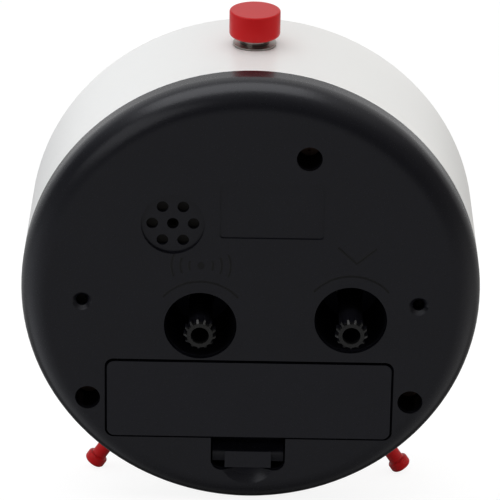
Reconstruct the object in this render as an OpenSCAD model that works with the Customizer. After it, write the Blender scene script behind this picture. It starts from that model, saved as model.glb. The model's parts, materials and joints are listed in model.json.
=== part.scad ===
// Retro alarm clock with a round white drum, black back, red button and red peg feet.
// The clock stands leaning back on two feet and the lower edge of its back cover.
// Own frame of the clock: axis along Y, dial towards -Y, seam between drum and cover at Y = 0.

/* [Body] */
// Outside diameter of the drum and of the back cover
case_d = 100; // [99:1:120]
// Depth of the drum from its front edge to the seam
drum_depth = 32.5; // [31:0.5:40]
// Wall of the drum
drum_wall = 1.5; // [1.2:0.1:2]
// Rounding of the front edge of the drum
drum_edge = 0.8; // [0.3:0.1:1]
// Lean of the clock, in degrees
lean = 11; // [8:1:16]

/* [Back cover] */
// Straight lip of the cover behind the seam
cover_lip = 3.5; // [3:0.1:5]
// Rounding between the lip and the flat back
cover_round = 6; // [5.5:0.1:7]
// Wall of the cover
cover_wall = 2; // [1.8:0.1:2.6]
// Mouth of the funnel round each knob
funnel_d = 15.8; // [14.5:0.1:16.2]
// Floor of the funnel
funnel_floor_d = 12; // [8:0.1:13]
// Depth of the funnel
funnel_depth = 15; // [8:0.5:15.5]
// Diameter of the wells over the screws
well_d = 5.5; // [5.2:0.1:5.8]
// Diameter of the sound grille
grille_d = 13.7; // [12:0.1:15]
// Diameter of each hole in the grille
grille_hole_d = 2.5; // [1.6:0.1:2.8]
// Depth that the grille lies below the back
grille_sink = 0.8; // [0.2:0.1:0.9]
// Depth that the bare plate lies below the back
plate_sink = 0.35; // [0.2:0.05:0.8]

/* [Battery door] */
// Width of the door opening
door_w = 63.2; // [63:0.1:63.6]
// Height of the door opening
door_h = 19.1; // [18.4:0.1:19.3]
// Gap under the door
door_gap = 0.35; // [0.25:0.05:0.45]
// Gap over the door, in which its top edge turns
door_top_gap = 0.65; // [0.6:0.05:0.8]
// Gap at each end of the door
door_end_gap = 0.5; // [0.3:0.05:0.6]
// Thickness of the door
door_t = 1.5; // [1.2:0.1:1.6]
// Distance of the door opening from the lowest edge of the case
door_rise = 16.7; // [16.2:0.1:17]
// Width of the latch pocket
pocket_w = 16.4; // [14:0.2:20]
// Width of the finger tab
tab_w = 10.2; // [8:0.2:12]

/* [Knobs] */
// Diameter over the teeth of a knob
knob_d = 7; // [6:0.1:8]
// Number of teeth of a knob
knob_teeth = 13; // [8:1:16]
// Length of the toothed head of a knob
knob_head = 2.6; // [2:0.1:3.5]
// Reach of the time knob beyond the back
time_reach = 7.65; // [4:0.05:10]
// Reach of the alarm knob beyond the back
alarm_reach = 4.95; // [4:0.05:10]
// Diameter of the shaft behind a knob
knob_shaft_d = 5.2; // [4.8:0.1:5.4]

/* [Button] */
// Diameter of the red button
button_d = 11.1; // [9.8:0.1:14]
// Height of the red button
button_h = 5.8; // [4:0.1:8]
// Diameter of the chrome stem
stem_d = 6.3; // [5.8:0.1:6.4]
// Travel of the button
button_travel = 1.2; // [0.8:0.1:1.4]
// Diameter of the bush flange
bush_flange_d = 9.4; // [8.6:0.1:9.6]

/* [Feet] */
// Angle of each foot from straight down
foot_angle = 33.8; // [28:0.2:38]
// Diameter of the leg
leg_d = 3.3; // [2.8:0.1:4]
// Diameter of the end of the foot
foot_d = 4.7; // [4.2:0.1:6]

/* [Dial and hands] */
// Depth of the bezel ring
bezel_t = 2.5; // [2:0.1:3]
// Thickness of the lens
lens_t = 1.8; // [1.5:0.1:2]
// Room between lens and dial
dial_room = 5.2; // [5:0.1:6]
// Length of the hour hand
hour_len = 25; // [18:0.5:30]
// Length of the minute hand
minute_len = 37; // [30:0.5:41]
// Length of the second hand
second_len = 39; // [30:0.5:42]
// Length of the alarm hand
alarm_len = 20; // [14:0.5:26]

/* [Movement] */
// Width of the movement box
movement_w = 56; // [56:0.5:60]
// Depth of the movement box
movement_depth = 11.5; // [11.4:0.1:11.8]
// Wall of the movement box
plate_t = 1.2; // [1:0.1:1.3]
// Thickness of each wheel
wheel_t = 0.95; // [0.7:0.05:1]

/* [Hidden] */
$fn = 96;
run = 0.05;
root = 0.3;
R = case_d / 2;
inner_r = R - drum_wall;
front_y = -drum_depth;
back_y = cover_lip + cover_round;
skin_y = back_y - cover_wall;

// Stack behind the front edge
lens_y = front_y + bezel_t;
spacer_y = lens_y + lens_t;
dial_y = spacer_y + dial_room;
dial_t = 1;
shelf_y = dial_y + dial_t;
shelf_t = 1.6;
shelf_end = shelf_y + shelf_t;
shelf_w = 8.5;
shelf_r = inner_r - shelf_w;
glass_r = inner_r - 0.2;
edge_r = min(drum_edge, drum_wall / 2);

// Standing pose
stand_z = cover_lip * sin(lean) + (R - cover_round) * cos(lean) + cover_round;
rear_most = cover_lip * cos(lean) + (R - cover_round) * sin(lean) + cover_round;
front_most = (front_y + edge_r) * cos(lean) - (R - edge_r) * sin(lean) - edge_r;
stand_y = -(rear_most + front_most) / 2;

// Movement
mov_y = shelf_y + 0.5;
mov_end = mov_y + movement_depth;
mov_in = mov_y + plate_t;
mov_out = mov_end - plate_t;
mov_top = 27;
mov_low = -21.5;
mov_half = movement_w / 2;
mov_wall = mov_half - plate_t;
mov_room = 0.4;
post_r = 3.2;

// Places on the back, as [x, z]
time_at = [-21.85, -4.15];
alarm_at = [10.8, -5.95];
grille_at = [16.9, 17.95];
grille_border = 2.4;
sound_port_r = 1.6;
grille_ring = grille_d / 2 - grille_border;
plate_at = [-4.4, 21.25];
plate_size = [22.4, 12.6];
movement_screw_x = 36.5;
movement_screw_z = -0.5;
movement_screws_at = [for (s = [-1, 1]) [s * movement_screw_x, movement_screw_z]];
pilot_r = 1.15;
rib_t = 1.6;
rib_end = -4;
well_floor = 0;
tube_t = 1.3;
boss_r = 3.4;
boss_gap = 0.36;
well_edge = 7.4;
well_low_r = R - well_edge;
well_low_x = door_w / 2 + boss_r + boss_gap;
well_low_a = 180 - asin(well_low_x / well_low_r);
well_top_x = -12.14;
well_top_z = mov_top + boss_r + 3.28;
well_top_r = norm([well_top_x, well_top_z]);
well_top_a = atan2(well_top_x, well_top_z);
wells = [
    [well_top_x, well_top_z],
    clock(well_low_r, well_low_a),
    clock(well_low_r, -well_low_a)
];

// Battery bay
cell_r = 7.1;
cell_len = 50.2;
door_low = -R + door_rise;
door_top = door_low + door_h;
cell_z = (door_low + door_top) / 2;
door_in = back_y - door_t;
rebate_y = door_in - 0.2;
cell_y = door_in - 0.4 - cell_r;
bay_floor = cell_y - cell_r - 0.1;
bay_wall = 1.4;
door_ledge = 2.4;
bay_half_w = door_w / 2 - door_ledge;
bay_half_h = cell_r + 0.3;
cell_end = bay_half_w - 0.45;
bead_r = door_t / 2 - 0.05;
hinge_y = back_y - door_t / 2;
hinge_z = door_top - door_top_gap - door_t / 2;
door_corner = 1.6;
panel_w = door_w - 2 * door_end_gap;
panel_h = door_h - door_gap - door_top_gap;
panel_z = door_low + door_gap + panel_h / 2;
hook_half = 2.2;
hook_x = bay_half_w - hook_half - 0.4;
slot_half = hook_half + 0.5;

// Latch
strip_t = 0.6;
strip_half = pocket_w / 2 - 0.35;
bend_r = 2.45;
latch_y = 4.2 + back_y - 9.5;
strip_top = door_low + door_gap + strip_t;
latch_z = strip_top - bend_r;
pocket_low = door_low - 7.9;
pocket_floor = latch_y - bend_r - 1;
roll_r = 4;
roll_cut = 1.2;
scoop_r = 11;
scoop_depth = 2;
scoop_rise = 3;
roll_z = latch_z - bend_r + strip_t - roll_r;

// Layers of the movement and of the hands
layer_room = 0.9;
layer_pitch = (mov_out - mov_in - layer_room - wheel_t) / 5;
hand_t = 0.35;
hand_pitch = 1;
alarm_hand_y = dial_y - 0.8 - hand_t;
hour_hand_y = alarm_hand_y - hand_pitch;
minute_hand_y = hour_hand_y - hand_pitch;
second_hand_y = minute_hand_y - hand_pitch;
bush_r = 3.6;
arbor_r = 0.55;
minute_r = 1.2;
hour_r = 1.9;
alarm_r = 2.6;

// Wheel train: centre distances and tooth sizes
time_dist = norm(time_at);
alarm_dist = norm(alarm_at);
motion_m = 0.5;
motion_dist = motion_m * (12 + 36) / 2;
time_gear_dist = motion_m * (20 + 36) / 2;
time_gear_r = tooth_r(20, motion_m, 2);
time_dir = atan2(time_at[1], time_at[0]);
motion_square = pow(motion_dist, 2) + pow(time_dist, 2) - pow(time_gear_dist, 2);
motion_swing = acos(motion_square / (2 * motion_dist * time_dist));
motion_dir = time_dir - motion_swing;
motion_at = [motion_dist * cos(motion_dir), motion_dist * sin(motion_dir)];
hour_m = 2 * motion_dist / (10 + 40);
alarm_m = 2 * alarm_dist / (20 + 40);
second_m = 0.35;
step_dist = second_m * (10 + 50) / 2;
step_dir = 60;
step_at = [step_dist * cos(step_dir), step_dist * sin(step_dir)];
step_m = 0.35;
rotor_dist = step_m * (8 + 48) / 2;
rotor_dir = 30;
rotor_at = step_at + [rotor_dist * cos(rotor_dir), rotor_dist * sin(rotor_dir)];
third_m = 0.3;
third_dist = third_m * (8 + 64) / 2;
third_dir = 250;
third_at = [third_dist * cos(third_dir), third_dist * sin(third_dir)];
centre_m = 2 * third_dist / (8 + 60);
to_time = atan2(time_at[1] - motion_at[1], time_at[0] - motion_at[0]);
cannon_turn = mate(0, 36, 12, motion_dir + 180);
time_turn = mate(0, 36, 20, to_time);
hour_turn = mate(0, 10, 40, motion_dir + 180);
alarm_turn = mate(0, 20, 40, atan2(-alarm_at[1], -alarm_at[0]));
step_turn = mate(0, 50, 10, step_dir);
rotor_turn = mate(0, 48, 8, rotor_dir);
third_turn = mate(0, 8, 64, third_dir);
centre_turn = mate(0, 8, 60, third_dir + 180);

// Motor and circuit inside the movement
stator_t = 1;
stator_h = 5;
stator_low = rotor_at[1] - stator_h / 2;
stator_end = rotor_at[0] + 7.5;
eye_r = 4.6;
rotor_r = 2.2;
rotor_hole_r = 2.9;
coil_start = -mov_wall + 0.8;
coil_stop = 4;
coil_z = mov_top - 5.5;
coil_y = layer(4) + 0.15;
core_h = 1.6;
core_t = 0.8;
core_y = coil_y - core_t / 2;
core_foot = 2;
flange_r = 3.7;
flange_w = 0.8;
bobbin_r = 1.5;
winding_r = 3.2;
bobbin_start = coil_start + 2 * core_foot + 0.7;
bobbin_stop = coil_stop - 2 * core_foot - 0.7;
board_start = 8;
board_stop = mov_wall - 0.2;
board_low = mov_low + 1.5;
board_h = 8.5;
board_t = 1;
peg_r = 1.2;
peg_z = board_low + 3;
chip_r = 2.4;
can_r = 1;
contact_stop = mov_wall - 4.8;
contact_z = 4;

// Depth of the hollow in a knob
knob_bore = 9;

// Knob head: radius between the teeth, and length of the slope at the end of each tooth
knob_root_r = 0.4 * knob_d;
knob_slope = 0.9;

// Angle at which each knob stands, in degrees
time_stand = 76.7;
alarm_stand = 80.8;

// Button
button_y = shelf_y + 5.7;
flange_z = R - 0.25;
flange_t = 0.55;
cap_z = flange_z + flange_t + button_travel + 0.4;
cap_round = 0.35;
cap_foot = 0.75;
stem_top = cap_z + 3;
bush_out = stem_d / 2 + 0.55;
bush_low = R - 4.4;
nut_t = 1.8 - (drum_wall - 1.5);
collar_t = 0.8;
collar_r = 4.2;
collar_z = bush_low - run - collar_t;
stem_shoulder = bush_low - 1.6;
tip_r = 1.6;
tip_z = stem_shoulder - 2.6;
switch_top = stem_shoulder - 4.5;
switch_h = 6.5;
switch_low = switch_top - switch_h;

// Springs: wire, turns and the least gap between two turns
battery_wire_r = 0.4;
battery_spring_turns = 5;
battery_spring_len = cell_end - cell_len + bay_half_w - 0.9;
button_wire_r = 0.25;
button_spring_turns = 4;
button_spring_len = stem_shoulder - switch_top - 0.6;
echo(battery_spring_gap = battery_spring_len / battery_spring_turns - 2 * battery_wire_r);
echo(button_spring_gap = button_spring_len / button_spring_turns - 2 * button_wire_r);

// Feet
foot_y = button_y + 0.7;
foot_round = 0.8;
foot_ring = foot_d / 2 - foot_round;
foot_slope = sqrt(1 - pow(cos(foot_angle) * cos(lean), 2));
sole_cut = 0.15;
foot_drop = foot_ring * foot_slope + foot_round - sole_cut;
foot_reach = (stand_z - foot_y * sin(lean) - foot_drop) / (cos(foot_angle) * cos(lean));
shoulder_r = 0.5;
neck_r = (foot_d - leg_d) / 2 - shoulder_r;
head_start = foot_reach + foot_round - 2.4;

// A point at radius r and clock angle a, seen from the front
function clock(r, a) = [r * sin(a), r * cos(a)];

// Start of the wheel layer k, counted from the dial side
function layer(k) = mov_in + 0.3 + (k - 1) * layer_pitch;

// Turn of a wheel of n2 teeth that meshes with one of n1 teeth turned by a1, seen along phi
function mate(a1, n1, n2, phi) = phi + 180 + 180 / n2 - (a1 - phi) * n1 / n2;

// Tooth outline with flanks on an involute of 25 degrees
function inv(a) = tan(a) * 180 / PI - a;
function half_tooth(n, m, r) =
    let (base = n * m / 2 * cos(25), q = max(r, base))
    90 / n * 0.86 + inv(25) - inv(acos(min(1, base / q)));
function tooth_r(n, m, j) = n * m / 2 + ((j == 0 || j == 5) ? -0.95 * m : (j == 1 || j == 4) ? 0 : 0.6 * m);
function wheel_points(n, m, turn) = [
    for (k = [0 : n - 1], j = [0 : 5])
        let (r = tooth_r(n, m, j), a = turn + 360 * k / n + (j < 3 ? -1 : 1) * half_tooth(n, m, r))
        [r * cos(a), r * sin(a)]
];

// Outline of a knob with square teeth
function knob_points(turn) = [
    for (k = [1 : knob_teeth], j = [0 : 3])
        let (r = (j == 0 || j == 3) ? knob_root_r : knob_d / 2)
        let (a = turn + 360 * (k + [-0.2, -0.12, 0.12, 0.2][j]) / knob_teeth)
        [r * cos(a), r * sin(a)]
];

// Brings the clock from its own frame to its standing pose
module stand() translate([0, stand_y, stand_z]) rotate([-lean, 0, 0]) children();

// Flat outline in x and z, made thick from y0 to y1
module slab(y0, y1) translate([0, y1, 0]) rotate([90, 0, 0]) linear_extrude(y1 - y0) children();

// Flat outline in y and z, made wide along x
module across(w) rotate([90, 0, 90]) translate([0, 0, -w / 2]) linear_extrude(w) children();

// Outline in radius and y, turned round the axis of the clock
module turned() rotate([-90, 0, 0]) rotate_extrude() children();

// Round bar along y
module rod(r, y0, y1, at = [0, 0])
    translate([at[0], y0, at[1]]) rotate([-90, 0, 0]) cylinder(r = r, h = y1 - y0);

// Cone along y
module cone(r0, r1, y0, y1, at = [0, 0])
    translate([at[0], y0, at[1]]) rotate([-90, 0, 0]) cylinder(r1 = r0, r2 = r1, h = y1 - y0);

module box(x0, x1, y0, y1, z0, z1) translate([x0, y0, z0]) cube([x1 - x0, y1 - y0, z1 - z0]);

module ring(r_out, r_in) difference() {
    circle(r_out);
    circle(r_in);
}

// Rectangle with round corners
module soft_rect(w, h, r) {
    square([w - 2 * r, h], center = true);
    square([w, h - 2 * r], center = true);
    for (sx = [-1, 1], sy = [-1, 1]) translate([sx * (w / 2 - r), sy * (h / 2 - r)]) circle(r);
}

module wheel(n, m, turn, y0, y1, at = [0, 0])
    translate([at[0], 0, at[1]]) slab(y0, y1) polygon(wheel_points(n, m, turn));

// Wire wound from radius r0 to r1 along its own axis
module winding(r0, r1, len, turns, wire) {
    steps = round(turns * 14);
    sides = 7;
    rows = [
        for (i = [0 : steps], j = [0 : sides - 1])
            let (t = i / steps, a = 360 * turns * t, b = 360 * j / sides)
            let (q = r0 + (r1 - r0) * t + wire * cos(b))
            [q * cos(a), q * sin(a), len * t + wire * sin(b)]
    ];
    skin = [
        for (i = [0 : steps - 1], j = [0 : sides - 1], half = [0, 1])
            let (k = (j + 1) % sides, p = i * sides)
            half == 0 ? [p + j, p + k, p + sides + j] : [p + k, p + sides + k, p + sides + j]
    ];
    start = [for (j = [1 : sides - 2]) [0, j + 1, j]];
    last = steps * sides;
    end = [for (j = [1 : sides - 2]) [last, last + j, last + j + 1]];
    polyhedron(points = rows, faces = concat(skin, start, end));
}

// Puts a piece that stands along z on the line of a foot
module on_foot(side) translate([0, foot_y, 0]) rotate([0, 180 - side * foot_angle, 0]) children();

module button_line() translate([0, button_y, 0]) children();

// Rib from a screw boss to the wall of the drum, at clock angle a
module rib(r, a) rotate(-a) translate([-rib_t / 2, r + rib_t]) square([rib_t, inner_r + root - r - rib_t]);

module drum_case() color("white") stand() difference() {
    union() {
        turned() {
            translate([inner_r, front_y + edge_r]) square([drum_wall, drum_depth - edge_r]);
            translate([inner_r, front_y]) square([drum_wall - edge_r, drum_depth]);
            translate([R - edge_r, front_y + edge_r]) circle(edge_r);
            translate([shelf_r, shelf_y]) square([shelf_w + root, shelf_t]);
        }
        slab(shelf_y, shelf_end) {
            for (p = movement_screws_at)
                translate([p[0] > 0 ? p[0] : -inner_r, p[1] - post_r])
                    square([inner_r - movement_screw_x, 2 * post_r]);
            translate([-8, switch_low - 2]) square([16, shelf_r + 3 - switch_low]);
            rotate(-well_top_a) translate([-4, well_top_r]) square([8, shelf_r + 2 - well_top_r]);
        }
        for (p = wells) rod(boss_r, shelf_y, well_floor - tube_t, p);
        for (p = movement_screws_at) rod(post_r, shelf_y, mov_out, p);
        slab(shelf_y, rib_end) {
            rib(well_top_r, well_top_a);
            for (s = [-1, 1]) rib(well_low_r, s * well_low_a);
        }
    }
    slab(mov_y - mov_room / 2, shelf_end + 1) translate([-mov_half - mov_room, mov_low - mov_room])
        square([2 * mov_half + 2 * mov_room, mov_top - mov_low + 2 * mov_room]);
    for (p = wells) rod(1.45, well_floor - tube_t - 12, 1, p);
    for (p = movement_screws_at) rod(pilot_r, mov_out - 8, mov_out + 1, p);
    box(-6.5, 6.5, shelf_y - 1, shelf_end + 1, switch_top + 1.5, inner_r);
    button_line() {
        translate([0, 0, R - 6]) cylinder(r = bush_out + run, h = 12);
        translate([0, 0, flange_z]) cylinder(r = bush_flange_d / 2 + 0.15, h = 4);
    }
    for (s = [-1, 1]) on_foot(s) translate([0, 0, R - 6]) cylinder(r = 1.2, h = 10);
}

module front_bezel() color("white") stand() turned() polygon([
    [glass_r - 4.2, lens_y],
    [glass_r - 4.2, lens_y - 0.6],
    [glass_r - 1.6, front_y + 0.3],
    [glass_r + 0.15, front_y + 0.3],
    [glass_r + 0.15, lens_y]
]);

module lens() color([0.8, 0.9, 0.95, 0.3]) stand() rod(glass_r, lens_y, spacer_y);

module dial_spacer() color("white") stand() slab(spacer_y, dial_y) ring(glass_r + 0.1, glass_r - 2.6);

module dial() color("ivory") stand() slab(dial_y, shelf_y) ring(glass_r + 0.05, bush_r + run);

module back_cover() color([0.12, 0.12, 0.13]) stand() difference() {
    union() {
        turned() difference() {
            union() {
                square([R, cover_lip]);
                square([R - cover_round, back_y]);
                translate([R - cover_round, cover_lip]) circle(cover_round);
            }
            translate([0, -10]) square([R - cover_wall, cover_lip + 10]);
            translate([0, -10]) square([R - cover_round, skin_y + 10]);
            translate([R - cover_round, cover_lip]) circle(cover_round - cover_wall);
            translate([0, -20]) square([R + 1, 20]);
        }
        turned() translate([inner_r - 1.6, -3]) square([1.5, cover_lip + 3]);
        for (p = [time_at, alarm_at])
            cone(funnel_floor_d / 2 + 1.3, funnel_d / 2 + 1.3, back_y - funnel_depth - 1.3, back_y - 0.2, p);
        for (p = wells) rod(well_d / 2 + 1.15, well_floor - tube_t + run, skin_y + 0.5, p);
        slab(bay_floor - bay_wall, skin_y + 0.5)
            translate([0, cell_z]) square([door_w + 0.2, door_h + 0.2], center = true);
        slab(pocket_floor - 1.2, skin_y + 0.5) translate([0, (pocket_low + door_low) / 2 - 0.2])
            square([pocket_w + 2.6, door_low - pocket_low + 2.4], center = true);
        box(-7, 7, skin_y - 3.5, skin_y + 0.5, pocket_low - 4.6, pocket_low + 0.5);
        translate([grille_at[0], 0, grille_at[1]]) slab(skin_y - 5.5, skin_y + 0.5) ring(9.4, 8.4);
    }
    for (p = [time_at, alarm_at]) {
        cone(funnel_floor_d / 2, funnel_d / 2, back_y - funnel_depth, back_y, p);
        rod(funnel_d / 2, back_y - 0.001, back_y + 4, p);
        rod(knob_shaft_d / 2 + 0.3, back_y - funnel_depth - 4, back_y, p);
    }
    for (p = wells) {
        rod(well_d / 2, well_floor, back_y + 4, p);
        rod(1.6, well_floor - tube_t - 1, well_floor + 1, p);
    }
    for (p = movement_screws_at) {
        rod(1.3, skin_y - 2, back_y + 2, p);
        cone(1.3, 2.1, back_y - 0.8, back_y + 0.001, p);
    }
    translate([plate_at[0], 0, plate_at[1]]) slab(back_y - plate_sink, back_y + 2)
        soft_rect(plate_size[0], plate_size[1], 0.8);
    rod(grille_d / 2, back_y - grille_sink, back_y + 2, grille_at);
    rod(grille_hole_d / 2, skin_y - 2, back_y + 2, grille_at);
    for (k = [0 : 5])
        rod(grille_hole_d / 2, skin_y - 2, back_y + 2, grille_at + clock(grille_ring, 60 * k + 30));
    slab(rebate_y, back_y + 2) translate([0, cell_z]) soft_rect(door_w, door_h, door_corner + 0.3);
    box(-bay_half_w, bay_half_w, bay_floor, back_y + 1, cell_z - bay_half_h, cell_z + bay_half_h);
    for (sx = [-1, 1]) translate([sx * hook_x, 0, 0]) {
        box(-slot_half, slot_half, hinge_y - 3.9, skin_y - 0.1, cell_z + bay_half_h - 1, hinge_z + 3.4);
        box(-slot_half, slot_half, skin_y - 0.2, rebate_y + 0.1, cell_z + bay_half_h - 1, door_top);
    }
    slab(pocket_floor, back_y + 2) {
        translate([0, (pocket_low + strip_top + 0.3) / 2 + 1])
            square([pocket_w, strip_top + 0.3 - pocket_low - 2], center = true);
        translate([0, pocket_low + 2.5]) soft_rect(pocket_w, 5, 2.4);
    }
    translate([0, back_y + scoop_r - scoop_depth, pocket_low + scoop_rise]) sphere(scoop_r);
}

module case_screws() color("goldenrod") stand() for (p = wells) difference() {
    union() {
        rod(2.4, well_floor, well_floor + 1.7, p);
        rod(1.4, well_floor - 10, well_floor + 0.5, p);
    }
    for (turn = [0, 90]) translate([p[0], well_floor, p[1]]) rotate([0, turn, 0])
        box(-1.4, 1.4, 0.8, 3, -0.3, 0.3);
}

module battery_door() color([0.13, 0.13, 0.14]) stand() union() {
    slab(hinge_y, back_y) translate([0, panel_z]) soft_rect(panel_w, panel_h, door_corner);
    slab(door_in, back_y) intersection() {
        translate([0, panel_z]) soft_rect(panel_w, panel_h, door_corner);
        translate([-door_w, hinge_z - 2 * door_h]) square([2 * door_w, 2 * door_h]);
    }
    translate([0, hinge_y, hinge_z]) rotate([0, 90, 0])
        cylinder(r = bead_r, h = panel_w - 2 * door_corner, center = true);
    for (sx = [-1, 1]) translate([sx * hook_x, 0, 0]) {
        box(-hook_half, hook_half, skin_y - 1.2, door_in + 0.5, hinge_z - 1.6, hinge_z - 0.2);
        box(-hook_half, hook_half, skin_y - 1.2, skin_y - 0.35, hinge_z - 0.8, hinge_z + 2.3);
    }
    box(-strip_half, strip_half, latch_y + run, door_in + root, strip_top - strip_t, strip_top);
}

module door_latch() color([0.14, 0.14, 0.15]) stand() union() {
    across(2 * strip_half) {
        intersection() {
            translate([latch_y, latch_z]) ring(bend_r, bend_r - strip_t);
            translate([latch_y - 5, latch_z - 5]) square([5, 10]);
        }
        translate([latch_y - 0.05, latch_z - bend_r]) square([0.35, strip_t]);
        intersection() {
            translate([latch_y + 0.25, roll_z]) ring(roll_r, roll_r - strip_t);
            translate([latch_y + 0.25, roll_z + roll_cut]) square([6, 6]);
        }
    }
    across(tab_w) intersection() {
        translate([latch_y + 2.6, roll_z]) square([back_y - 0.3 - latch_y - 2.6, roll_r - 0.05]);
        difference() {
            translate([latch_y, roll_z]) square([8, 8]);
            translate([latch_y + 0.25, roll_z]) circle(roll_r - strip_t / 2);
        }
    }
}

module battery_cell() color("silver") stand() translate([cell_end, cell_y, cell_z]) rotate([0, -90, 0]) {
    cylinder(r = 2.75, h = 2);
    translate([0, 0, 1.4]) cylinder(r = cell_r, h = cell_len - 1.4);
}

module battery_spring() color("silver") stand()
    translate([-bay_half_w + 0.45, cell_y, cell_z]) rotate([0, 90, 0])
        winding(5.4, 3, battery_spring_len, battery_spring_turns, battery_wire_r);

module battery_plate() color("silver") stand()
    box(bay_half_w - 0.4, bay_half_w, cell_y - 4.5, cell_y + 4.5, cell_z - 4.5, cell_z + 4.5);

module sounder() color("gold") stand() difference() {
    union() {
        rod(8.35, skin_y - 5, skin_y - 2, grille_at);
        rod(6.2, skin_y - 2.1, skin_y - 1.2, grille_at);
    }
    rod(sound_port_r, skin_y - 4, skin_y, grille_at);
}

module foot(side) stand() difference() {
    on_foot(side) difference() {
        rotate_extrude() {
            square([leg_d / 2 + 0.9, R + 0.9]);
            square([leg_d / 2, foot_reach]);
            translate([0, head_start]) square([foot_d / 2 - shoulder_r, foot_reach - head_start]);
            translate([0, head_start + shoulder_r])
                square([foot_d / 2, foot_reach - head_start - shoulder_r]);
            translate([foot_d / 2 - shoulder_r, head_start + shoulder_r]) circle(shoulder_r);
            translate([leg_d / 2, head_start - neck_r]) difference() {
                translate([-0.1, 0]) square([neck_r + 0.1, neck_r + 0.1]);
                translate([neck_r, 0]) circle(neck_r);
            }
            translate([foot_ring, foot_reach]) circle(foot_round);
            square([foot_ring, foot_reach + foot_round]);
        }
        translate([0, 0, R - 1]) cylinder(r = 1.15, h = 8);
    }
    rod(R, -drum_depth, 0);
    rotate([lean, 0, 0]) box(-R, R, -R, R, -stand_z - 10, -stand_z);
}

module foot_left() color("firebrick") foot(-1);

module foot_right() color("firebrick") foot(1);

module foot_screws() color("silver") stand() for (s = [-1, 1]) on_foot(s) difference() {
    union() {
        translate([0, 0, inner_r - 1.5]) cylinder(r = 2.2, h = 1.43);
        translate([0, 0, inner_r - 1]) cylinder(r = 1.1, h = drum_wall + 7);
    }
    for (turn = [0, 90]) rotate([0, 0, turn]) translate([-1.3, -0.3, inner_r - 2.5]) cube([2.6, 0.6, 1.7]);
}

module button_cap() color("red") stand() button_line() difference() {
    rotate_extrude() {
        translate([0, cap_z]) square([button_d / 2 - cap_foot, button_h]);
        translate([0, cap_z + cap_foot]) square([button_d / 2, button_h - cap_round - cap_foot]);
        translate([0, cap_z + button_h - 1]) square([button_d / 2 - cap_round, 1]);
        translate([button_d / 2 - cap_foot, cap_z + cap_foot]) circle(cap_foot);
        translate([button_d / 2 - cap_round, cap_z + button_h - cap_round]) circle(cap_round);
    }
    translate([0, 0, cap_z - 1]) cylinder(r = stem_d / 2 + 0.01, h = stem_top - cap_z + 1);
}

module button_stem() color("silver") stand() button_line() union() {
    translate([0, 0, stem_shoulder]) cylinder(r = stem_d / 2, h = stem_top - stem_shoulder);
    translate([0, 0, tip_z]) cylinder(r = tip_r, h = stem_shoulder - tip_z + 1);
}

module stem_collar() color("dimgray") stand() button_line() translate([0, 0, collar_z]) difference() {
    cylinder(r = collar_r, h = collar_t);
    translate([0, 0, -1]) cylinder(r = stem_d / 2 + 0.01, h = collar_t + 2);
}

module button_bush() color("silver") stand() button_line() difference() {
    union() {
        translate([0, 0, bush_low]) cylinder(r = bush_out, h = flange_z + flange_t - bush_low);
        translate([0, 0, flange_z]) cylinder(r = bush_flange_d / 2, h = flange_t);
    }
    translate([0, 0, bush_low - 1]) cylinder(r = stem_d / 2 + run, h = 10);
}

module bush_nut() color("dimgray") stand() button_line() translate([0, 0, bush_low + 0.6]) difference() {
    cylinder(r = 4.9, h = nut_t);
    translate([0, 0, -1]) cylinder(r = bush_out + 0.01, h = 6);
}

module button_spring() color("silver") stand() button_line() translate([0, 0, switch_top + 0.3])
    winding(2.45, 2.45, button_spring_len, button_spring_turns, button_wire_r);

module alarm_switch() color([0.2, 0.2, 0.22]) stand() union() {
    box(-6.4, 6.4, shelf_end, button_y + 3, switch_low, switch_top);
    button_line() translate([0, 0, switch_top - 0.5])
        cylinder(r = 1.3, h = tip_z - button_travel - switch_top + 0.4);
}

module movement_front() color("gainsboro") stand() difference() {
    union() {
        difference() {
            box(-mov_half, mov_half, mov_y, mov_out, mov_low, mov_top);
            box(-mov_wall, mov_wall, mov_in, mov_out + 1, mov_low + plate_t, mov_top - plate_t);
        }
        rod(bush_r, dial_y - 0.3, mov_in, [0, 0]);
        rod(6, shelf_y, mov_in, [0, 0]);
        rod(0.6, mov_in - 0.2, layer(3) + wheel_t + 0.25, motion_at);
    }
    rod(alarm_r + run, dial_y - 2, mov_in + 1, [0, 0]);
    rod(time_gear_r + mov_room, layer(3) - mov_room, layer(3) + wheel_t + mov_room, time_at);
    for (p = [time_at, alarm_at]) rod(0.8 + run, mov_y - 1, mov_in + 1, p);
    for (p = [step_at, rotor_at, third_at]) rod(0.4 + run, mov_y - 1, mov_in + 1, p);
}

module movement_rear() color("gainsboro") stand() difference() {
    union() {
        box(-mov_half, mov_half, mov_out, mov_end, mov_low, mov_top);
        slab(mov_out, mov_end) for (p = movement_screws_at) {
            translate(p) circle(post_r + 0.2);
            translate([(p[0] + sign(p[0]) * mov_half) / 2, p[1]])
                square([movement_screw_x - mov_half + 1, 2 * post_r + 0.4], center = true);
        }
        for (x = [board_start + 3, board_stop - 3.6])
            rod(peg_r, mov_out - board_t, mov_out + 0.2, [x, peg_z]);
    }
    for (p = movement_screws_at) rod(1.3, mov_out - 1, mov_end + 1, p);
    rod(1.55 + run, mov_out - 1, mov_end + 1, time_at);
    rod(1.3 + run, mov_out - 1, mov_end + 1, alarm_at);
    rod(arbor_r + run, mov_out - 1, mov_end + 1, [0, 0]);
    for (p = [step_at, rotor_at, third_at]) rod(0.4 + run, mov_out - 1, mov_end + 1, p);
}

module movement_screws() color("silver") stand() for (p = movement_screws_at) {
    rod(2.3, mov_end, mov_end + 1.5, p);
    rod(pilot_r - run, mov_out - 7, mov_end + 0.5, p);
}

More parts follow.
